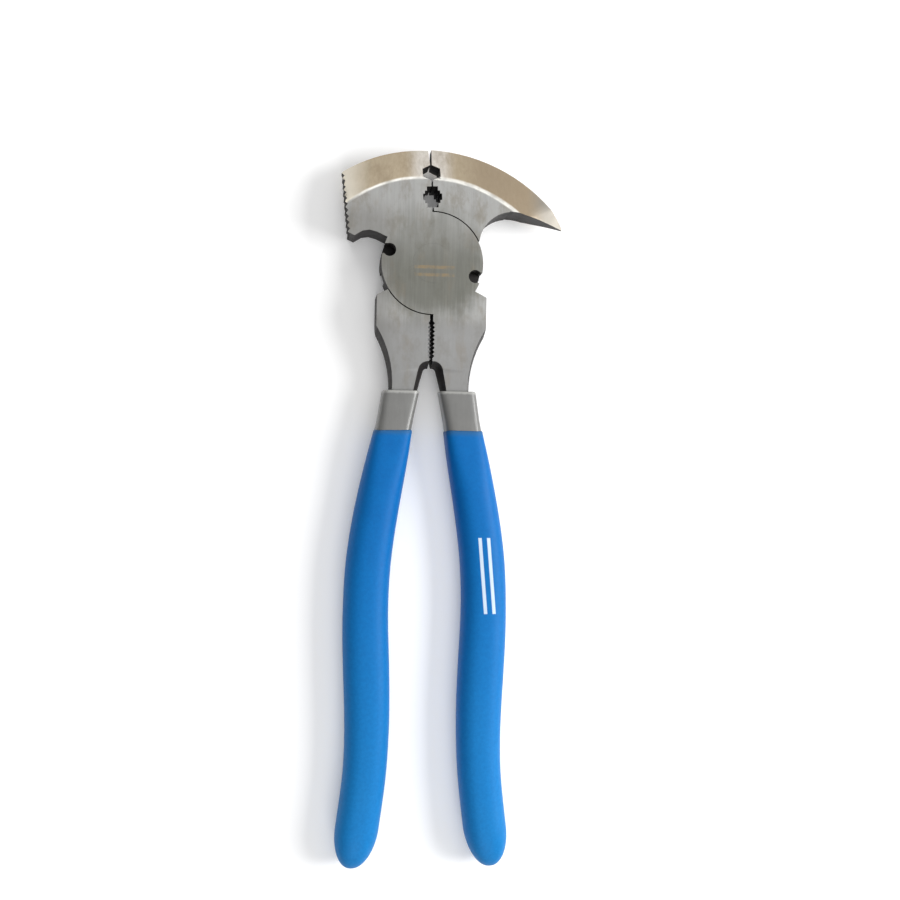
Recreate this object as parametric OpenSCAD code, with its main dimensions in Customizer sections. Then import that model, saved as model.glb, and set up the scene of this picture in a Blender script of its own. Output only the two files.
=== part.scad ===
// Fencing pliers, 10-1/2 in long: two drop-forged steel halves in a lap joint on one
// flush-ground rivet, with handles dipped twice in vinyl.
// X runs to the right, Y up to the jaws, Z out of the front face. The origin is on the
// pivot's axis, in the plane that the tool lies on. The jaws are shut.

/* [Lap joint] */
// Diameter of the round lapped discs
disc_d = 37.5; // [31:0.1:45]
// Thickness of the forgings at the joint
joint_t = 16; // [13.4:0.1:19.2]
// Gap between a disc's rim and the pocket that it turns in
disc_gap = 0.4; // [0.2:0.05:0.6]
// Gap between the two lapped faces
lap_gap = 0.1; // [0.06:0.02:0.3]
// Diameter of the rivet's shank
rivet_d = 11; // [9:0.1:13.2]
// How far the rivet's heads spread past its shank
rivet_head = 1.7; // [1:0.1:2]
// Running clearance round the rivet, in the half that turns
rivet_run = 0.05; // [0.02:0.01:0.1]
// Clearance round the rivet, in the half that holds it
rivet_seat = 0.02; // [0.02:0.01:0.04]

/* [Wire cutters] */
// Radius of each cutter notch
notch_r = 2.4; // [2:0.05:3]
// Width of the notch's mouth
notch_mouth = 3.9; // [3.2:0.1:4.7]
// Depth of the notch's centre below the disc's rim
notch_in = 2.3; // [1.8:0.1:2.8]
// Angle of the notches above and below the tool's cross line
notch_angle = 15.6; // [13:0.1:18]

/* [Jaws] */
// Height of the jaws above the disc
jaw_h = 23.5; // [22.5:0.1:28.2]
// Gap between the shut jaws
jaw_gap = 0.6; // [0.4:0.1:1.2]
// Extra gap at the very top of the jaws
jaw_flare = 0.4; // [0:0.1:1.4]
// Lean of the jaws' parting line
part_lean = 3; // [0:0.1:5]
// Thickness left along the crown by its bevels
crown_t = 6; // [4:0.1:8]
// Width across the hexagonal wire hole
hex_w = 6.5; // [5.4:0.1:7.8]
// Height of the hexagonal wire hole
hex_h = 6.4; // [5.4:0.1:7.2]
// Height of the hexagonal hole's centre above the disc
hex_up = 14.6; // [13.6:0.1:16]
// Height of the stepped hole's centre above the disc
cross_up = 5.5; // [5:0.1:6.2]

/* [Hammer] */
// Pitch of the hammer face's teeth
tooth_pitch = 2.25; // [1.8:0.05:2.7]
// Depth of the hammer face's teeth
tooth_deep = 0.95; // [0.6:0.05:1.1]

/* [Claw] */
// Reach of the claw's tip from the pivot's axis
claw_reach = 49.3; // [44:0.1:49.6]
// Thickness of the claw's tip
claw_tip_t = 1.4; // [0.8:0.1:3]

/* [Necks] */
// Half width of the shoulders under the disc
shoulder_w = 20.2; // [18.6:0.1:22.5]
// Width of the slot between the necks
slot_w = 1.2; // [0.8:0.05:1.6]
// Number of wire teeth on each side of the slot
slot_teeth = 9; // [6:1:9]
// Pitch of the slot's teeth
slot_pitch = 1.5; // [1.3:0.05:1.6]
// Depth of the slot's teeth
slot_deep = 0.7; // [0.3:0.05:0.8]
// Thickness of each neck where it enters its grip
neck_t = 11.6; // [10.6:0.1:13]
// Bulge of a neck's outer side past its flat faces, where it enters its grip
neck_bulge = 1; // [0.5:0.1:1.2]
// Bulge of its inner side, under the arch
arch_bulge = 1.8; // [1:0.1:2.1]

/* [Handles] */
// Length of each dipped handle
handle_len = 177.3; // [148:0.1:213]
// Drop from the disc to the top of the dipped handles
cuff_drop = 28; // [27.4:0.1:31]
// Length of the grey base coat that shows
cuff_len = 14.6; // [10:0.1:18]
// Depth of each finished grip, front to back
grip_t = 16; // [14:0.1:19.2]
// Thickness of the blue outer coat
outer_coat = 1.2; // [0.8:0.1:1.5]
// Thickness of the blue coat at its top edge
edge_coat = 0.4; // [0.3:0.05:0.6]
// Half width of the steel tang
tang_w = 4.3; // [3.6:0.1:4.4]
// Gap between one layer of the handle and the next
coat_gap = 0.05; // [0.03:0.01:0.1]

/* [Hidden] */
$fn = 96;
steel = [0.56, 0.56, 0.54];
bright_steel = [0.66, 0.66, 0.64];
base_grey = [0.42, 0.42, 0.40];
vinyl_blue = [0.05, 0.33, 0.68];

disc_r = disc_d / 2;
half_t = joint_t / 2;
lift = max(joint_t, grip_t) / 2;
far = 100;

// The crown of each jaw is one arc: its centre's place across the tool, its radius, and how
// far it rises above jaw_h. Its bevels end at a ridge, an arc on the same centre.
hammer_crown = [-2.65, 56.7, 0];
hammer_bevel = 11;
claw_crown = [-1.95, 63.75, 0.35];
claw_bevel = 11.25;
ridge_ease = 0.8;

// A point this far above the disc, and one this far below it
function above(x, up) = [x, disc_r + up];
function below(x, drop) = [x, -disc_r - drop];

// A place on the jaws' parting line
part_x = -0.1;
function parting(up, side = 0) = above(part_x - up * tan(part_lean) + side * jaw_gap / 2, up);

// The handle's centre line and half width, each as [share of the handle's length, mm]
handle_x = [[0, 10.45], [0.09, 13.3], [0.26, 19.0], [0.36, 21.4], [0.475, 22.1],
            [0.59, 21.4], [0.69, 20.85], [0.8, 21.4], [0.9, 23.5], [1, 25.9]];
handle_w = [[0, 6.85], [0.08, 6.95], [0.12, 7.5], [0.2, 8.1], [0.3, 8.35], [0.45, 8.4],
            [0.55, 8.6], [0.66, 8.45], [0.75, 8.15], [1, 8.1]];
sides = 20;
stations = 26;
cap_len = 15;
squareness = 2.5;

// Cubic interpolation through a list of [place, value]
function slope(t, i) = (t[i + 1][1] - t[i][1]) / (t[i + 1][0] - t[i][0]);
function knot_slope(t, i) =
    i == 0 ? slope(t, 0) : i == len(t) - 1 ? slope(t, i - 1) : (slope(t, i - 1) + slope(t, i)) / 2;
function segment(t, s, i = 0) = i >= len(t) - 2 || s < t[i + 1][0] ? i : segment(t, s, i + 1);
function smooth(t, s) =
    let (i = segment(t, s), d = t[i + 1][0] - t[i][0], u = (s - t[i][0]) / d)
    t[i][1] * (1 + 2 * u) * pow(1 - u, 2) + t[i + 1][1] * u * u * (3 - 2 * u)
    + d * u * (1 - u) * (knot_slope(t, i) * (1 - u) - knot_slope(t, i + 1) * u);

// One ring of a handle: a rounded square section across the tool, at a share of its length
function rounded(v) = sign(v) * pow(abs(v), 2 / squareness);
function ring(s, w, t) =
    [for (k = [0 : sides - 1])
        let (a = 360 * (k + 0.5) / sides)
        [smooth(handle_x, s) + w * rounded(cos(a)),
         -disc_r - cuff_drop - s * handle_len,
         t * rounded(sin(a))]];

// Shares of the length, from one end to the other, closer together at the rounded end
function shares(from, to) = [for (k = [0 : stations]) from + (to - from) * sin(90 * k / stations)];
function cap(s, end) = let (u = max(0, 1 - (end - s) * handle_len / cap_len)) sqrt(1 - u * u);

// The layers of a handle, from the inside out: half width and half depth at a share
blue_from = cuff_len / handle_len;
cuff_in = 1.3;
wall_share = 2.4 / handle_len;
function coat(s) = edge_coat + (outer_coat - edge_coat) * min(1, max(0, s - blue_from) * 10);
function grip_w(s) = smooth(handle_w, s);
function grip_d(s) = grip_t / 2 - cuff_in * pow(max(0, 1 - s / blue_from / 2), 2);

blue_end = 0.9995;
base_end = 1 - (outer_coat + coat_gap) / handle_len;
tang_end = base_end - wall_share;

function blue_ring(s) = let (c = cap(s, 1)) ring(s, c * grip_w(s), c * grip_d(s));
function cuff_ring(s) = ring(s, grip_w(s), grip_d(s));
function base_ring(s, grow) =
    let (c = cap(s, base_end + 0.0005))
    ring(s, c * (grip_w(s) - coat(s)) + grow, c * (grip_d(s) - coat(s)) + grow);
function tang_ring(s, grow) =
    let (c = cap(s, tang_end + 0.001), w = tang_w + 0.3 * min(1, max(0, s) * 8))
    ring(s, c * w + grow, c * (neck_t / 2 - 0.35) + grow);

// A closed skin over a row of rings, flat at the first and the last
module skin(rings) {
    last = len(rings) - 1;
    points = [for (r = rings) each r];
    bands = [for (j = [0 : last - 1], k = [0 : sides - 1])
        let (a = j * sides + k, b = j * sides + (k + 1) % sides)
        each [[a, a + sides, b], [b, a + sides, b + sides]]];
    first_end = [for (k = [0 : sides - 1]) k];
    last_end = [for (k = [sides - 1 : -1 : 0]) last * sides + k];
    polyhedron(points, concat(bands, [first_end], [last_end]), convexity = 6);
}

function reversed(list) = [for (k = [len(list) - 1 : -1 : 0]) list[k]];

// --- Steel halves ----------------------------------------------------------------

// Everything within a crown arc, with a bevel to the front and to the back
module crown_stock(crown, bevel) {
    ridge = crown[1] - bevel;
    ease_z = half_t - ridge_ease * (half_t - crown_t / 2) / bevel;
    translate(above(crown[0], jaw_h + crown[2] - crown[1]))
        rotate_extrude($fn = 180)
            polygon([[0, -half_t], [ridge - ridge_ease, -half_t], [ridge + ridge_ease, -ease_z],
                     [crown[1], -crown_t / 2], [crown[1], crown_t / 2],
                     [ridge + ridge_ease, ease_z], [ridge - ridge_ease, half_t], [0, half_t]]);
}

// Rows of grooves both ways across the hammer face leave it covered in square points
hammer_foot = [-31.15, -8.5];
hammer_top = [-33.85, jaw_h - 8.1];
module hammer_teeth() {
    face = hammer_top - hammer_foot;
    rows = floor(norm(face) / tooth_pitch);
    columns = floor(joint_t / tooth_pitch);
    groove = [[-0.3, -tooth_pitch * 0.6], [tooth_deep, 0], [-0.3, tooth_pitch * 0.6]];
    translate(above(hammer_foot[0], hammer_foot[1])) rotate(atan2(face[1], face[0]) - 90) {
        for (i = [0 : rows - 1])
            translate([0, (i + 0.55) * tooth_pitch, 0])
                linear_extrude(joint_t + 2, center = true) polygon(groove);
        for (i = [0 : columns - 1])
            translate([0, -2, (i - (columns - 1) / 2) * tooth_pitch])
                rotate([-90, 0, 0]) linear_extrude(norm(face) + 4) polygon(groove);
    }
}

// The left jaw: hammer face on the outside, staple notch underneath
module hammer_jaw() {
    difference() {
        intersection() {
            crown_stock(hammer_crown, hammer_bevel);
            linear_extrude(joint_t, center = true)
                polygon([parting(-8, -1), parting(hex_up, -1), parting(hex_up + 3, -1),
                         parting(jaw_h + 2, -1) - [jaw_flare, 0],
                         above(hammer_top[0] - 0.38, hammer_top[1] + 3),
                         above(hammer_top[0], hammer_top[1]),
                         above(hammer_foot[0], hammer_foot[1]),
                         above(-28.7, -9.6), above(-25.8, -7.8), above(-23.2, -7.35),
                         above(-20.5, -8), above(-16.7, -9.7), above(-17.6, -12.1),
                         above(-10, -11)]);
        }
        hammer_teeth();
    }
}

// The right jaw: a claw that curves over and down to a blunt spike
hook = [29.9, -11.65, 12.8];
under = [12.6, -107.5, 110];
nose = [9.85, -25.45, 45.4];
nose_from = 45.6;
spike_from = 38.5;
module claw_jaw() {
    spike_t = half_t - 2;
    tip_t = claw_tip_t / 2;
    intersection() {
        crown_stock(claw_crown, claw_bevel);
        rotate([90, 0, 0]) linear_extrude(2 * far, center = true)
            polygon([[-far, -half_t], [spike_from - 6, -half_t], [spike_from, -spike_t],
                     [claw_reach, -tip_t], [claw_reach, tip_t],
                     [spike_from, spike_t], [spike_from - 6, half_t], [-far, half_t]]);
        linear_extrude(joint_t, center = true) difference() {
            polygon([parting(-8, 1), above(2, -12), above(16, -11), above(16.7, -10),
                     above(claw_reach, -10), above(claw_reach, jaw_h),
                     parting(jaw_h + 2, 1) + [jaw_flare, 0],
                     parting(hex_up + 3, 1), parting(hex_up, 1)]);
            translate(above(hook[0], hook[1])) circle(hook[2]);
            intersection() {
                translate(above(under[0], under[1])) circle(under[2], $fn = 240);
                translate(above(28.4, -40)) square([40, 60]);
            }
            difference() {
                translate(above(nose_from, -12)) square([10, 40]);
                translate(above(nose[0], nose[1])) circle(nose[2], $fn = 180);
            }
        }
    }
}

// Two wire holes stand on the parting line, half in each jaw
module wire_holes() {
    linear_extrude(joint_t + 2, center = true) {
        translate(parting(hex_up)) rotate(part_lean)
            polygon([[0, hex_h / 2], [hex_w / 2, hex_h / 4], [hex_w / 2, -hex_h / 4],
                     [0, -hex_h / 2], [-hex_w / 2, -hex_h / 4], [-hex_w / 2, hex_h / 4]]);
        translate(parting(cross_up)) rotate(part_lean)
            for (step = [[4.05, 7.7], [5.6, 4.6], [7, 2.4]])
                square(step, center = true);
    }
}

// One lapped disc, in the front layer, with its two cutter notches
module lap_disc() {
    translate([0, 0, lap_gap / 2]) linear_extrude(half_t - lap_gap / 2) difference() {
        circle(disc_r, $fn = 180);
        for (a = [-notch_angle, 180 - notch_angle])
            rotate(a) translate([disc_r - notch_in, 0]) {
                circle(notch_r, $fn = 48);
                translate([0, -notch_mouth / 2]) square([far, notch_mouth]);
            }
    }
}

// The pocket in the back layer that the other half's disc turns in
module lap_pocket() {
    translate([0, 0, -half_t - 1])
        cylinder(r = disc_r + disc_gap, h = half_t + 1 + lap_gap / 2, $fn = 180);
}

// The rivet, with its heads spread into countersinks and ground flush
module rivet_form(grow) {
    r = rivet_d / 2 + grow;
    head = r + rivet_head;
    reach = half_t + (grow > 0 ? 0.5 : 0);
    rotate_extrude()
        polygon([[0, -reach], [head, -reach], [head, -half_t], [r, -half_t + rivet_head * 1.2],
                 [r, half_t - rivet_head * 1.2], [head, half_t], [head, reach], [0, reach]]);
}

// The neck on the right: shoulder, toothed slot wall, arch and forged waist
arch_r = 1.45;
arch_at = [0.93, 21.05];
arch_lean = 15;
waist = [55.8, 27.75, 40.8];
bulge_t = 5.8;
bulge_steps = 6;
module neck_outline() {
    first = 2.6;
    teeth = [for (i = [0 : slot_teeth - 1])
        each [below(slot_w / 2, first + i * slot_pitch),
              below(slot_w / 2 + slot_deep, first + (i + 0.5) * slot_pitch)]];
    polygon(concat([below(slot_w / 2, -8)], teeth,
                   [below(slot_w / 2, first + slot_teeth * slot_pitch), below(slot_w / 2, cuff_drop),
                    below(shoulder_w, cuff_drop - 0.1), below(shoulder_w, -6.65),
                    below(shoulder_w - 4, -8.65), below(8, -12)]));
}

// The wall that a cut leaves bulges out to the middle of the forging's thickness
function bulged(r, bulge) =
    [for (k = [-bulge_steps : bulge_steps])
        let (z = k * (half_t + 1) / bulge_steps)
        [r + bulge * pow(abs(z) / bulge_t, 1.3), z]];

module waist_cut() {
    wall = bulged(waist[2], neck_bulge);
    translate(concat(below(waist[0], waist[1]), 0))
        rotate_extrude($fn = 180) polygon(concat([[0, -half_t - 1]], wall, [[0, half_t + 1]]));
}

module arch_cut() {
    wall = bulged(arch_r, arch_bulge);
    translate(concat(below(arch_at[0], arch_at[1]), 0)) {
        rotate_extrude() polygon(concat([[0, -half_t - 1]], wall, [[0, half_t + 1]]));
        rotate([90, 0, arch_lean]) linear_extrude(30)
            polygon(concat([[-far / 4, -half_t - 1]], wall, [[-far / 4, half_t + 1]]));
    }
}

// Seen from the side, a neck thins in one easy curve from the joint to its grip
module neck_side() {
    from = disc_r + 4;
    run = cuff_drop - 4;
    thin = half_t - neck_t / 2;
    front = [for (u = [0 : 0.125 : 1]) [-from - u * run, half_t - thin * u * u]];
    polygon(concat([[0, half_t]], front, reversed([for (p = front) [p[0], -p[1]]]), [[0, -half_t]]));
}

module neck() {
    difference() {
        intersection() {
            linear_extrude(joint_t, center = true) neck_outline();
            rotate([90, 0, 90]) linear_extrude(far) neck_side();
        }
        waist_cut();
        arch_cut();
    }
}

// The tang is the thin end of the forging, hidden in the grip
module tang() {
    skin([for (s = concat([-0.02], shares(0, tang_end))) tang_ring(s, 0)]);
}

module hammer_half() {
    color(steel) translate([0, 0, lift]) difference() {
        union() {
            difference() {
                union() {
                    hammer_jaw();
                    neck();
                }
                lap_pocket();
            }
            lap_disc();
            tang();
        }
        rivet_form(rivet_run);
        wire_holes();
    }
}

module claw_half() {
    color(bright_steel) translate([0, 0, lift]) difference() {
        union() {
            difference() {
                union() {
                    claw_jaw();
                    mirror([1, 0, 0]) neck();
                }
                rotate([180, 0, 0]) lap_pocket();
            }
            rotate([180, 0, 0]) lap_disc();
            mirror([1, 0, 0]) tang();
        }
        rivet_form(rivet_seat);
        wire_holes();
    }
}

module pivot_rivet() {
    color(bright_steel) translate([0, 0, lift]) rivet_form(0);
}

// --- Dipped handles --------------------------------------------------------------

// The grey base coat: a cup over the tang, bare at the top and covered below
module base_coat() {
    inside = [for (s = shares(0, tang_end)) tang_ring(s, coat_gap)];
    bare = [for (k = [0 : 4]) cuff_ring(k / 4 * blue_from)];
    covered = [for (s = shares(blue_from, base_end)) base_ring(s, 0)];
    skin(concat(reversed(inside), bare, covered));
}

// The blue outer coat: a second cup over the first
module outer_grip() {
    outside = [for (s = shares(blue_from, blue_end)) blue_ring(s)];
    inside = [for (s = shares(blue_from, base_end)) base_ring(s, coat_gap)];
    skin(concat(reversed(inside), outside));
}

module right_base_coat() {
    color(base_grey) translate([0, 0, lift]) base_coat();
}

module left_base_coat() {
    color(base_grey) translate([0, 0, lift]) mirror([1, 0, 0]) base_coat();
}

module right_grip() {
    color(vinyl_blue) translate([0, 0, lift]) outer_grip();
}

module left_grip() {
    color(vinyl_blue) translate([0, 0, lift]) mirror([1, 0, 0]) outer_grip();
}

hammer_half();
claw_half();
pivot_rivet();
right_base_coat();
left_base_coat();
right_grip();
left_grip();
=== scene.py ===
import math

import bmesh
import bpy
from mathutils import Matrix, Vector
from mathutils.bvhtree import BVHTree


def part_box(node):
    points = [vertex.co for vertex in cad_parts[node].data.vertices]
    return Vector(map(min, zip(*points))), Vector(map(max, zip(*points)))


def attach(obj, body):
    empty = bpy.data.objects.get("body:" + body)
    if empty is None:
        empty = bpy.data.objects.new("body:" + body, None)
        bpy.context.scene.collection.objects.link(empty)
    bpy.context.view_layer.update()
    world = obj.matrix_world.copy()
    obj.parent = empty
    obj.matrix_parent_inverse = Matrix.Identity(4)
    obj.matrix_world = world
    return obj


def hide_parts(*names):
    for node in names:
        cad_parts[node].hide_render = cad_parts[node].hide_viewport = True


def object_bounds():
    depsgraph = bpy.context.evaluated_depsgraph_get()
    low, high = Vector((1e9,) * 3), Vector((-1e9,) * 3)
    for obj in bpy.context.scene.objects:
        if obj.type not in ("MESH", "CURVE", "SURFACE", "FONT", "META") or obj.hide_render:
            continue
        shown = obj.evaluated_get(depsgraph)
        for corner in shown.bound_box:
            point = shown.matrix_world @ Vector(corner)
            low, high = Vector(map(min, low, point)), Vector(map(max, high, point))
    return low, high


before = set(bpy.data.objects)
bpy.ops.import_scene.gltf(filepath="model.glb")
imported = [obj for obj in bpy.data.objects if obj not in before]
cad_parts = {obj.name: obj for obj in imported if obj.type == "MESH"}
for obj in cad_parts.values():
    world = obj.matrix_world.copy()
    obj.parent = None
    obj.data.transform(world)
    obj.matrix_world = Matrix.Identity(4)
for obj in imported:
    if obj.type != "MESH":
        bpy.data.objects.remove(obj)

cad_low, cad_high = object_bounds()

# --- Bench, light and camera ---------------------------------------------------------
# The tool lies on a pale bench under a bright, even sky of white cloth, with one large
# soft lamp high on its right. The bench glows as painted light, faintly by the tool and brightly
# far off. It is seen from above, with its jaws away from the viewer.
mm = 0.001
scene = bpy.context.scene
mid_z = (cad_low.z + cad_high.z) / 2
half_t = (cad_high.z - cad_low.z) / 2

camera_height = 450 * mm
camera_left = 50 * mm
frame_width = 336.6 * mm
lean = math.radians(1.0)
aim = Vector((8.5 * mm, cad_low.y + 155.5 * mm, mid_z))
along = Vector((math.cos(lean), math.sin(lean), 0))
up = Vector((-math.sin(lean), math.cos(lean), 0))

sky_white = (1.0, 1.0, 1.0, 1)
sky_strength = 0.26
bench_half = 3
bench_gap = 0.05 * mm
bench_white = (0.93, 0.93, 0.93, 1)
bench_rough = 0.9
glow_from = 0.3
glow_full = 1.1
glow_near = 0.12
glow_far = 0.9

camera = bpy.data.objects.new("camera", bpy.data.cameras.new("camera"))
scene.collection.objects.link(camera)
camera.location = aim - along * camera_left + Vector((0, 0, camera_height))
back = (camera.location - aim).normalized()
right = up.cross(back).normalized()
camera.matrix_world = Matrix.Translation(camera.location) @ Matrix(
    (right, back.cross(right), back)).transposed().to_4x4()
camera.data.lens = camera.data.sensor_width * (camera.location - aim).length / frame_width
scene.camera = camera
scene.view_settings.view_transform = "Standard"

world = bpy.data.worlds.new("studio")
world.use_nodes = True
world.node_tree.nodes["Background"].inputs["Color"].default_value = sky_white
world.node_tree.nodes["Background"].inputs["Strength"].default_value = sky_strength
scene.world = world


def lamp(name, place, across, power, target=(0, -0.03, 0)):
    """A square soft lamp at this place, turned to face the target, in metres and watts."""
    light = bpy.data.objects.new(name, bpy.data.lights.new(name, "AREA"))
    light.data.size = across
    light.data.energy = power
    light.location = place
    light.rotation_euler = (Vector(target) - light.location).to_track_quat("-Z", "Y").to_euler()
    scene.collection.objects.link(light)


lamp("soft_key", place=(0.72, -0.04, 0.50), across=0.5, power=8.8)
lamp("soft_back", place=(-0.15, 0.80, 0.90), across=0.7, power=3.4)
lamp("soft_front", place=(0.02, -0.85, 0.70), across=0.5, power=2.8)
lamp("soft_top", place=(0.22, 0.05, 1.20), across=0.9, power=2.6)


class Tone:
    """One value in a finish. Arithmetic on it adds Math nodes to the finish's tree."""

    def __init__(self, tree, socket=None):
        self.tree = tree
        self.socket = socket

    def node(self, kind, settings=None, sockets=None, out=0):
        """A new node of this kind, set and linked, as the value of one of its outputs."""
        made = self.tree.nodes.new("ShaderNode" + kind)
        for name, value in (settings or {}).items():
            setattr(made, name, value)
        for name, value in (sockets or {}).items():
            if isinstance(value, Tone):
                self.tree.links.new(value.socket, made.inputs[name])
            else:
                made.inputs[name].default_value = value
        return Tone(self.tree, made.outputs[out])

    def feeds(self, socket):
        self.tree.links.new(self.socket, socket)

    def math(self, operation, *values):
        return self.node("Math", {"operation": operation}, dict(enumerate(values)))

    def __add__(self, other):
        return self.math("ADD", self, other)

    def __radd__(self, other):
        return self.math("ADD", other, self)

    def __sub__(self, other):
        return self.math("SUBTRACT", self, other)

    def __rsub__(self, other):
        return self.math("SUBTRACT", other, self)

    def __mul__(self, other):
        return self.math("MULTIPLY", self, other)

    def __rmul__(self, other):
        return self.math("MULTIPLY", other, self)

    def __abs__(self):
        return self.math("ABSOLUTE", self)

    def root(self):
        return self.math("SQRT", self)

    def step(self, low, high, start=0, end=1):
        """Start at low and end at high, with a soft turn between; low may be the higher."""
        return self.node("MapRange", {"interpolation_type": "SMOOTHSTEP"},
                         {"Value": self, "From Min": low, "From Max": high,
                          "To Min": start, "To Max": end})

    def within(self, half, soft):
        """1 where this is nearer to 0 than half, fading to 0 over soft on either side of it."""
        return abs(self).step(half + soft, half - soft)

    def between(self, tone_a, tone_b):
        """The colour between two colours that this value picks."""
        return self.node("Mix", {"data_type": "RGBA"}, {0: self, 6: tone_a, 7: tone_b}, out=2)

    def axis(self, number):
        """One coordinate of this place: 0 for x, 1 for y, 2 for z."""
        return self.node("SeparateXYZ", {}, {0: self}, out=number)

    def stretched(self, x, y, z):
        """This place, with each axis scaled."""
        return self.node("VectorMath", {"operation": "MULTIPLY"}, {0: self, 1: (x, y, z)})

    def noise(self, size, detail=3, rough=0.55):
        """Cloudy noise from 0 to 1, whose patches are about this size across."""
        return self.node("TexNoise", {}, {"Vector": self, "Scale": 1 / size, "Detail": detail,
                                          "Roughness": rough})

    def bump(self, strength, depth):
        """The surface normal that this height gives."""
        return self.node("Bump", {}, {"Strength": strength, "Distance": depth, "Height": self})


def new_finish(name):
    """An empty finish: its material, its shader node, and the place on the piece."""
    material = bpy.data.materials.new(name)
    material.use_nodes = True
    shader = material.node_tree.nodes["Principled BSDF"]
    place = Tone(material.node_tree).node("TexCoord", out="Object")
    return material, shader, place


bench_paint, bench_shader, bench_place = new_finish("bench_paint")
bench_shader.inputs["Base Color"].default_value = bench_white
bench_shader.inputs["Roughness"].default_value = bench_rough
bench_shader.inputs["Emission Strength"].default_value = 1
# The bench glows by itself, faintly by the tool and brightly far off: painted light.
bench_reach = bench_place.node("VectorMath", {"operation": "LENGTH"}, {0: bench_place}, "Value")
bench_painted_light = bench_reach.step(glow_from, glow_full, glow_near, glow_far)
bench_painted_light.feeds(bench_shader.inputs["Emission Color"])

bench = bpy.data.objects.new("bench", bpy.data.meshes.new("bench"))
bench_corners = [(x * bench_half, y * bench_half, 0) for x, y in ((-1, -1), (1, -1), (1, 1), (-1, 1))]
bench.data.from_pydata(bench_corners, [], [(0, 1, 2, 3)])
bench.data.materials.append(bench_paint)
scene.collection.objects.link(bench)
bench.location.z = cad_low.z - bench_gap

# --- Forged halves -------------------------------------------------------------------
# Two drop-forged halves of medium-carbon steel. Their faces and crown bevels are ground
# on a belt and wiped with oil, and the sides keep the dark skin of the forge, painted darker
# still as painted shade. The crown bevels carry painted reflection and painted highlights.
rim_bevel = 0.25 * mm
fine_bevel = 0.07 * mm
bevel_room = 2.1
bevel_from = math.radians(25)
weld = 0.03 * mm
flat_within = math.radians(0.6)
crease_from = math.radians(32)
bore_r = 8.5 * mm
disc_r = 18.75 * mm
crown_mid = {"hammer_half": Vector((-2.65, -14.45)) * mm,
             "claw_half": Vector((-1.95, -21.15)) * mm}
ridge_r = {"hammer_half": 45.7 * mm, "claw_half": 52.5 * mm}
ridge_half = {"hammer_half": 0.425 * mm, "claw_half": 0.675 * mm}
mark_mid = Vector((0.8, -2.9)) * mm
mark_half_len = 7.4 * mm
mark_half_gap = 1.4 * mm
mark_half_line = 0.6 * mm


def srgb(red, green, blue):
    """A colour given as a painter's 0 to 255 values, in linear light."""
    return tuple(((v / 255 + 0.055) / 1.055) ** 2.4 for v in (red, green, blue)) + (1,)


ground_dark = srgb(140, 140, 138)
ground_light = srgb(176, 176, 174)
oil_film = srgb(128, 122, 110)
pits = srgb(96, 92, 86)
disc_dark = srgb(84, 85, 78)
disc_light = srgb(122, 122, 114)
neck_grey = srgb(132, 132, 132)
shoulder_grey = srgb(104, 102, 98)
edge_grey = srgb(112, 110, 106)
# The crown bevel colours are painted reflection, painted highlights and painted shade.
seam_highlight = srgb(232, 228, 222)
reflected_tan = srgb(186, 171, 146)
reflected_brown = srgb(146, 131, 108)
claw_bevel_shade = srgb(146, 128, 106)
tip_reflection_grey = srgb(142, 142, 138)
face_side_highlight = srgb(226, 220, 206)
# Painted highlight along the crown's ridge.
ridge_highlight_white = srgb(243, 241, 234)
etched_brown = srgb(160, 132, 86)
stain_brown = srgb(126, 114, 96)
# The sides' dark forge skin, painted darker than it is as painted shade.
forge_and_shade_black = srgb(9, 7, 6)
forge_and_shade_grey = srgb(32, 26, 24)


def face_tone(place, cloud, streak, smudge):
    """A ground face: darker on the disc, most of all low down on it, set grey on the necks, and
    darker at the shoulders and by the staple notch.
    """
    x = place.axis(0)
    y = place.axis(1)
    lay = 0.75 * streak + 0.25 * cloud
    tone = lay.between(ground_dark, ground_light)
    tone = (0.55 * smudge).between(tone, oil_film)
    speck = place.noise(0.5 * mm, 2, 0.6).step(0.66, 0.78)
    tone = (0.35 * speck).between(tone, pits)

    smeared = (x * x + y * y).root() + 9 * mm * (cloud - 0.5) + 5 * mm * (streak - 0.5)
    on_disc = smeared.step(disc_r + 8 * mm, disc_r - 5 * mm)
    low_down = (y + 8 * mm * (cloud - 0.5)).step(12 * mm, -2 * mm)
    disc_darkening = on_disc * (0.6 + 0.4 * low_down)
    tone = (0.9 * disc_darkening).between(tone, lay.between(disc_dark, disc_light))

    on_neck = y.step(-18 * mm, -26 * mm)
    tone = (0.6 * on_neck).between(tone, neck_grey)
    on_shoulder = on_neck * y.step(-27 * mm, -20 * mm)
    tone = (0.35 * on_shoulder).between(tone, shoulder_grey)
    by_notch = x.step(-11 * mm, -21 * mm) * y.step(25 * mm, 15 * mm)
    return (0.5 * by_notch).between(tone, edge_grey)


def crown_tone(place, cloud, streak, smudge):
    """A crown bevel painted with the brown reflection of its surroundings: a painted highlight by the
    seam and by the face, painted shade over the claw, and a greyer painted reflection near the tip.
    """
    x = place.axis(0)
    ragged = x + 5 * mm * (cloud - 0.5)
    from_seam = abs(x + 1 * mm).step(3 * mm, 10 * mm)
    tone = from_seam.between(seam_highlight, reflected_tan)
    tone = (0.7 * streak + 0.25 * smudge).between(tone, reflected_brown)
    on_claw = ragged.step(8 * mm, 20 * mm)
    tone = (0.5 * on_claw).between(tone, claw_bevel_shade)
    near_tip = ragged.step(35 * mm, 43 * mm)
    tone = (0.7 * near_tip).between(tone, tip_reflection_grey)
    near_face = ragged.step(-22 * mm, -33 * mm)
    return (0.8 * near_face).between(tone, face_side_highlight)


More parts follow.
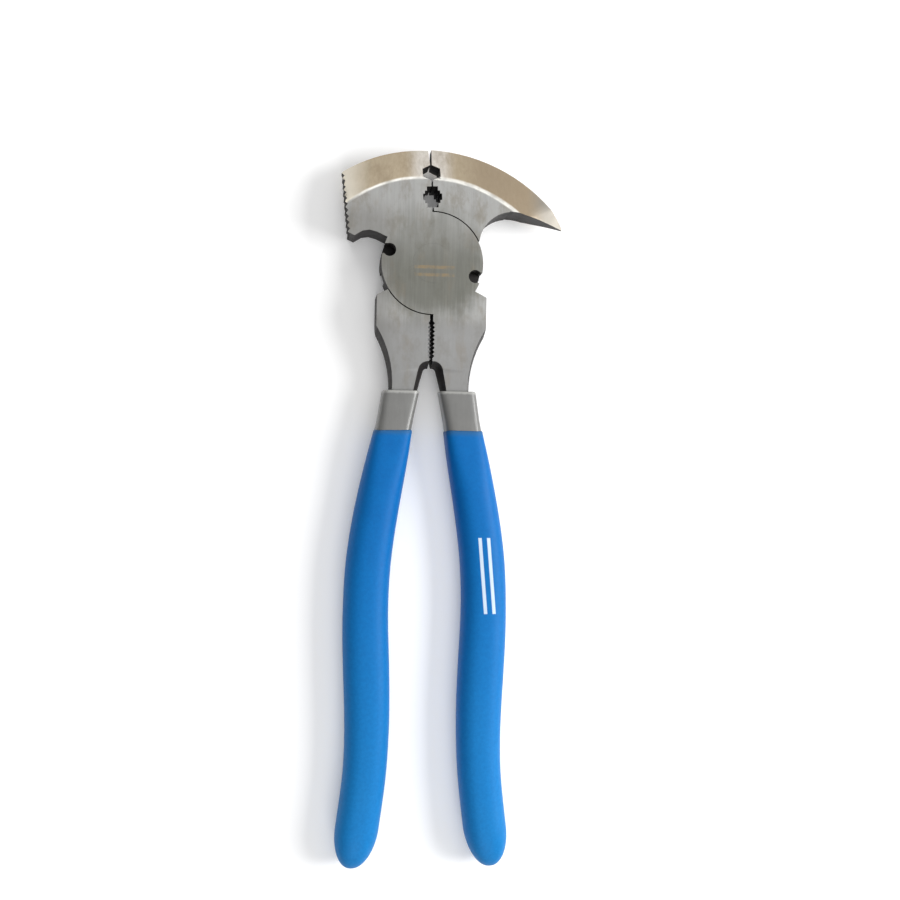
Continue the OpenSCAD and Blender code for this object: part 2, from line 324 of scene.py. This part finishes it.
def steel_finish(name, half):
    """The finish of one half: ground faces, a crown bevel of painted reflection with a painted
    highlight along its ridge, and black sides darkened further by painted shade.
    """
    material, shader, place = new_finish(name)
    x = place.axis(0)
    y = place.axis(1)
    z = place.axis(2)
    cloud = place.noise(11 * mm, 4, 0.6)
    smudge = place.stretched(1, 0.55, 1).noise(5 * mm, 5, 0.65).step(0.45, 0.72)
    streak = place.stretched(1, 0.05, 1).noise(1.1 * mm, 3, 0.7)
    grain = place.noise(0.9 * mm, 4, 0.7)

    dx = x - crown_mid[half].x
    dy = y - crown_mid[half].y
    crown_r = (dx * dx + dy * dy).root()
    bevel = crown_r.step(ridge_r[half] - 0.2 * mm, ridge_r[half] + 0.6 * mm)
    ground = bevel.between(face_tone(place, cloud, streak, smudge),
                           crown_tone(place, cloud, streak, smudge))

    # A painted highlight along the ridge, broken up by noise and kept off the hammer face.
    highlight_breakup = place.noise(5 * mm, 2).step(0.3, 0.6)
    wavy = crown_r + 0.9 * mm * (cloud - 0.5)
    ridge_glint = (wavy - ridge_r[half]).within(ridge_half[half], 0.375 * mm)
    off_face = (x + 5 * mm * (cloud - 0.5)).step(-33 * mm, -26 * mm)
    ground = ((0.4 + 0.5 * highlight_breakup) * ridge_glint * off_face).between(ground, ridge_highlight_white)

    etched = (abs(y - mark_mid.y) - mark_half_gap).within(mark_half_line, 0.15 * mm)
    etched = etched * (x - mark_mid.x).within(mark_half_len, 0.2 * mm)
    etched = etched * z.step(cad_high.z - 1 * mm, cad_high.z - 0.5 * mm)
    etched = etched * place.noise(2.6 * mm, 3, 0.6).step(0.32, 0.66)
    ground = (0.42 * etched).between(ground, etched_brown)
    stain = place.stretched(1, 0.4, 1).noise(7 * mm, 4, 0.6).step(0.52, 0.7)
    ground = (0.28 * stain * (1 - bevel)).between(ground, stain_brown)

    pivot_r = (x * x + y * y).root()
    # The lap faces in the seam between the halves get the sides' black as painted shade.
    lap_shade = pivot_r.step(disc_r + 1.5 * mm, disc_r + 0.7 * mm)
    lap_shade = lap_shade * (z - mid_z).within(2 * mm, 0.5 * mm)
    facing = abs(place.node("NewGeometry", out="Normal").axis(2))
    face = facing.step(0.35, 0.75) * (1 - lap_shade)
    flat = facing.step(0.985, 0.998)
    face.between(grain.between(forge_and_shade_black, forge_and_shade_grey), ground).feeds(shader.inputs["Base Color"])

    dull = face * (-0.18) + 0.62 + 0.12 * smudge + 0.1 * (streak - 0.5)
    dull.feeds(shader.inputs["Roughness"])
    (0.1 + face * (0.6 - 0.25 * bevel)).feeds(shader.inputs["Metallic"])
    height = 0.5 * streak * flat + 0.4 * grain * (1 - face) + 0.15 * cloud
    height.bump(0.35, 0.05 * mm).feeds(shader.inputs["Normal"])
    return material


def eased(bm, width, wanted):
    """Rounds the sharp edges that are wanted and that have room for this width."""
    sharp = []
    for edge in bm.edges:
        if len(edge.link_faces) != 2 or edge.calc_face_angle() < bevel_from:
            continue
        if not wanted(edge):
            continue
        near = [e.calc_length() for v in edge.verts for e in v.link_edges]
        if min(near) > bevel_room * width:
            sharp.append(edge)
    bmesh.ops.bevel(bm, geom=sharp, offset=width, segments=2, profile=0.5,
                    affect="EDGES", clamp_overlap=True)


def far_from_rivet(edge):
    middle = (edge.verts[0].co + edge.verts[1].co) / 2
    return middle.xy.length > bore_r


def forging(name, half, body):
    """The CAD half with its facets joined, its edges eased and its faces shaded true."""
    bm = bmesh.new()
    bm.from_mesh(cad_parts[half].data)
    bmesh.ops.remove_doubles(bm, verts=bm.verts, dist=weld)
    bmesh.ops.dissolve_limit(bm, angle_limit=flat_within, verts=bm.verts, edges=bm.edges)
    eased(bm, rim_bevel, far_from_rivet)
    eased(bm, fine_bevel, far_from_rivet)
    mesh = bpy.data.meshes.new(name)
    bm.to_mesh(mesh)
    bm.free()
    mesh.shade_smooth()
    mesh.set_sharp_from_angle(angle=crease_from)
    piece = bpy.data.objects.new(name, mesh)
    scene.collection.objects.link(piece)
    true_faces = piece.modifiers.new("true_faces", "WEIGHTED_NORMAL")
    true_faces.keep_sharp = True
    true_faces.weight = 90
    mesh.materials.append(steel_finish(name + "_steel", half))
    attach(piece, body)
    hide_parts(half)


forging("hammer_forging", "hammer_half", "hammer_side")
forging("claw_forging", "claw_half", "claw_side")

# --- Rivet ---------------------------------------------------------------------------
# One soft steel rivet holds the lap joint. It is upset into both countersinks and ground
# off flush with the faces, so only a hairline shows where it ends.
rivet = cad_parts["pivot_rivet"]
rivet.data.materials.clear()
rivet.data.materials.append(steel_finish("rivet_steel", "hammer_half"))

# --- Dipped handles ------------------------------------------------------------------
# Each tang is dipped first in grey vinyl, which stays bare as a cuff at its top, and then
# in blue. The blue runs down to a soft, slightly uneven line and rounds over the end.
handle_sides = 64
level_count = 90
calm_rounds = 6
top_margin = 0.4 * mm
clear_of_tool = 80 * mm
cap_len = 15 * mm
grip_square = 2.5
cuff_square = 5.5
square_run = 42 * mm
round_up = 1.01
dip_wave = 0.25 * mm
lip = 0.5 * mm
vinyl_crease_from = math.radians(60)


class Handle:
    """The outside of one dipped handle, read off its CAD solids at any height."""

    def __init__(self, cuff, grip, phase):
        self.phase = phase
        self.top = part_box(cuff)[1].y
        self.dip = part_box(grip)[1].y
        self.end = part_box(grip)[0].y
        self.low = self.end + cap_len
        self.cuff_skin = self.skin_of(cuff)
        self.grip_skin = self.skin_of(grip)
        fall = (self.low - self.top) / level_count
        self.levels = [self.top - top_margin + fall * i for i in range(level_count + 1)]
        self.mids = self.calmed([self.mid_and_half(y)[0] for y in self.levels])
        self.halves = self.calmed([self.mid_and_half(y)[1] for y in self.levels])
        self.depths = self.calmed([self.depth(y) for y in self.levels])

    def skin_of(self, node):
        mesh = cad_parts[node].data
        return BVHTree.FromPolygons([v.co for v in mesh.vertices],
                                    [p.vertices for p in mesh.polygons])

    def hit(self, start, way, y):
        skin = self.cuff_skin if y > self.dip else self.grip_skin
        return skin.ray_cast(start, way)[0]

    def mid_and_half(self, y):
        low = self.hit(Vector((-clear_of_tool, y, mid_z)), Vector((1, 0, 0)), y).x
        high = self.hit(Vector((clear_of_tool, y, mid_z)), Vector((-1, 0, 0)), y).x
        return (low + high) / 2, (high - low) / 2 * round_up

    def depth(self, y):
        mid = self.mid_and_half(y)[0]
        above = Vector((mid, y, clear_of_tool))
        return (self.hit(above, Vector((0, 0, -1)), y).z - mid_z) * round_up

    def calmed(self, values):
        """The values with their small unevenness smoothed out, and both ends kept."""
        for _ in range(calm_rounds):
            inner = [(a + 2 * b + c) / 4 for a, b, c in zip(values, values[1:], values[2:])]
            values = [values[0]] + inner + [values[-1]]
        return values

    def at(self, values, y):
        """One of the smoothed rows of values, read at this height."""
        spot = (self.levels[0] - y) / (self.levels[0] - self.levels[-1]) * (len(values) - 1)
        i = min(max(int(spot), 0), len(values) - 2)
        return values[i] + (values[i + 1] - values[i]) * (spot - i)

    def wave(self, turn):
        """How far the uneven dip line stands above its mean at this turn."""
        return dip_wave * (0.6 * math.sin(turn + self.phase)
                           + 0.4 * math.sin(3 * turn + 2 * self.phase))

    def squared(self, v, level):
        """Squares off a round section: boxy where it covers the neck, rounder in the hand."""
        left = max(0.0, 1 - (self.top - level) / square_run)
        power = grip_square + (cuff_square - grip_square) * left * left * (3 - 2 * left)
        return math.copysign(abs(v) ** (2 / power), v)

    def ring(self, y, inset=0.0, wavy=False, end=None):
        """Points round the handle at this height, this far inside its surface."""
        end = self.end if end is None else end
        points = []
        for k in range(handle_sides):
            turn = 2 * math.pi * k / handle_sides
            level = y + (self.wave(turn) if wavy else 0)
            drop = max(0.0, 1 - (level - end) / cap_len)
            cap = math.sqrt(max(0.0, 1 - drop * drop))
            half = self.at(self.halves, max(level, self.low)) - inset
            deep = min(self.at(self.depths, max(level, self.low)), half_t) - inset
            points.append(Vector((
                self.at(self.mids, level) + cap * half * self.squared(math.cos(turn), level),
                level,
                mid_z + cap * deep * self.squared(math.sin(turn), level))))
        return points


def quarter(count):
    """Steps of a quarter turn, as (sine, one minus cosine)."""
    turns = [math.pi / 2 * i / count for i in range(count + 1)]
    return [(math.sin(turn), 1 - math.cos(turn)) for turn in turns]


def cup(name, rings, body, node, material):
    """A closed skin over a row of rings, drawn to a point inside its first and last."""
    bm = bmesh.new()
    rows = [[bm.verts.new(p) for p in ring] for ring in rings]
    for a, b in zip(rows, rows[1:]):
        for k in range(handle_sides):
            j = (k + 1) % handle_sides
            bm.faces.new((a[k], a[j], b[j], b[k]))
    for row in (rows[0], rows[-1]):
        tip = bm.verts.new(sum((v.co for v in row), Vector()) / handle_sides)
        for k in range(handle_sides):
            bm.faces.new((row[k], row[(k + 1) % handle_sides], tip))
    bmesh.ops.recalc_face_normals(bm, faces=bm.faces)
    mesh = bpy.data.meshes.new(name)
    bm.to_mesh(mesh)
    bm.free()
    mesh.shade_smooth()
    mesh.set_sharp_from_angle(angle=vinyl_crease_from)
    piece = bpy.data.objects.new(name, mesh)
    scene.collection.objects.link(piece)
    mesh.materials.append(material)
    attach(piece, body)
    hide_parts(node)


# The grey coat goes up the inside of the tang's hole, over its top edge, down the bare
# cuff with a slight taper, and on under the blue coat.
hole_wall = 2.4 * mm
hole_len = 20 * mm
hole_top = 0.3 * mm
hole_rings = 4
edge_rings = 5
cuff_rings = 16
cuff_taper_rings = 12
cuff_step = 0.3 * mm
hidden_wall = 1.4 * mm
hidden_from = 2 * mm
hidden_len = 150 * mm
hidden_rings = 30
vinyl_dark = srgb(94, 94, 92)
vinyl_light = srgb(122, 122, 120)
vinyl_edge = srgb(168, 168, 164)


def grey_coat(handle):
    rings = []
    for i in range(hole_rings + 1):
        y = handle.top - hole_top - hole_len * (1 - i / hole_rings)
        rings.append(handle.ring(y, hole_wall))
    for s, c in reversed(quarter(edge_rings)):
        rings.append(handle.ring(handle.top - lip + lip * s, lip * c))
    for i in range(1, cuff_rings + 1):
        y = handle.top - lip - (handle.top - handle.dip) * i / cuff_rings
        rings.append(handle.ring(y, cuff_step * min(1, i / cuff_taper_rings)))
    for i in range(hidden_rings + 1):
        y = handle.dip - hidden_from - hidden_len * i / hidden_rings
        rings.append(handle.ring(y, hidden_wall))
    return rings


def grey_finish(top):
    """Matt grey vinyl with soft runs along the cuff and a thin pale edge at its top."""
    material, shader, place = new_finish("cuff_vinyl")
    y = place.axis(1)
    cloud = place.noise(6 * mm, 4, 0.6)
    skin = place.noise(0.35 * mm, 3, 0.6)
    run = place.stretched(1, 0.12, 1).noise(2.2 * mm, 3, 0.6)
    tone = (0.5 * cloud + 0.5 * run).between(vinyl_dark, vinyl_light)
    thin = (y + 1.2 * mm * (run - 0.5)).step(top - 1.5 * mm, top - 0.5 * mm)
    tone = (0.7 * thin).between(tone, vinyl_edge)
    tone.feeds(shader.inputs["Base Color"])
    (0.24 + 0.14 * cloud).feeds(shader.inputs["Roughness"])
    (0.15 * skin + 0.85 * run).bump(0.5, 0.12 * mm).feeds(shader.inputs["Normal"])
    return material


# The blue coat goes up its own inside, over the lip of the dip line, down the outside
# and round the end. Two white lines are printed on the right one.
end_wall = 1.25 * mm
end_gap = 0.05 * mm
blue_wall = 1.2 * mm
blue_thinning = 0.8 * mm
thinning_power = 6
inside_rings = 24
lip_rings = 6
outside_rings = 110
blue_gloss = 0.13
print_mid = Vector((22.2 * mm, -114.7 * mm))
print_slant = -0.093
print_len = 28 * mm
print_half_gap = 1.6 * mm
print_half_line = 0.625 * mm
# Painted light falloff along the grip, from the cuff to the end.
blue_shaded_by_cuff = srgb(0, 92, 162)
blue_lit_at_end = srgb(28, 122, 186)
blue_bloom = srgb(0, 112, 182)
blue_fleck = srgb(0, 62, 122)
blue_edge = srgb(52, 92, 128)
print_white = srgb(206, 220, 232)


def blue_coat(handle):
    inner_end = handle.end + end_wall
    rings = []
    for i in range(inside_rings + 1):
        rise = (handle.dip - lip - inner_end) * (1 - math.cos(math.pi / 2 * i / inside_rings))
        wall = blue_wall - blue_thinning * (i / inside_rings) ** thinning_power
        rings.append(handle.ring(inner_end + rise + end_gap, wall, end=inner_end))
    for s, c in reversed(quarter(lip_rings)):
        rings.append(handle.ring(handle.dip - lip + lip * s, lip * c, wavy=True))
    for i in range(1, outside_rings):
        fall = (handle.dip - handle.end - lip) * math.sin(math.pi / 2 * i / outside_rings)
        rings.append(handle.ring(handle.dip - lip - fall, wavy=i < 2))
    return rings


def blue_finish(name, dip, printed):
    """Blue vinyl with a faint bloom, thin and greyish at the dip line, with painted light that is
    darker by the cuff and lighter toward the end.
    """
    material, shader, place = new_finish(name)
    x = place.axis(0)
    y = place.axis(1)
    z = place.axis(2)
    cloud = place.noise(14 * mm, 4, 0.6)
    skin = place.noise(0.55 * mm, 3, 0.6)
    bloom = place.stretched(1, 0.5, 1).noise(5 * mm, 4, 0.6)
    # Painted light falloff: darker by the cuff and lighter toward the end of the grip.
    painted_falloff = y.step(-70 * mm, -215 * mm)
    tone = painted_falloff.between(blue_shaded_by_cuff, blue_lit_at_end)
    tone = (0.35 * (cloud + bloom)).between(tone, blue_bloom)
    fleck = place.noise(1.3 * mm, 3, 0.75).step(0.3, 0.7)
    tone = (0.16 * fleck).between(tone, blue_fleck)
    thin = (y + 0.7 * mm * (bloom - 0.5)).step(dip - 2.6 * mm, dip - 0.2 * mm)
    tone = (0.7 * thin).between(tone, blue_edge)
    if printed:
        down = y - print_mid.y
        across = x - print_mid.x - print_slant * down
        mark = (abs(across) - print_half_gap).within(print_half_line, 0.125 * mm)
        mark = mark * down.within(print_len / 2, 0.15 * mm)
        mark = mark * z.step(mid_z, mid_z + 1 * mm) * (0.75 + 0.25 * bloom)
        tone = mark.between(tone, print_white)
    tone.feeds(shader.inputs["Base Color"])
    (0.42 + 0.14 * bloom).feeds(shader.inputs["Roughness"])
    shader.inputs["Specular IOR Level"].default_value = blue_gloss
    (0.7 * skin + 0.3 * bloom).bump(0.45, 0.08 * mm).feeds(shader.inputs["Normal"])
    return material


grey_vinyl = grey_finish(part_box("right_base_coat")[1].y)

for side, body, phase in (("right", "hammer_side", 0.6), ("left", "claw_side", 2.4)):
    handle = Handle(side + "_base_coat", side + "_grip", phase)
    cup(side + "_blue_coat", blue_coat(handle), body, side + "_grip",
        blue_finish(side + "_grip_vinyl", handle.dip, side == "right"))
    cup(side + "_cuff_coat", grey_coat(handle), body, side + "_base_coat", grey_vinyl)
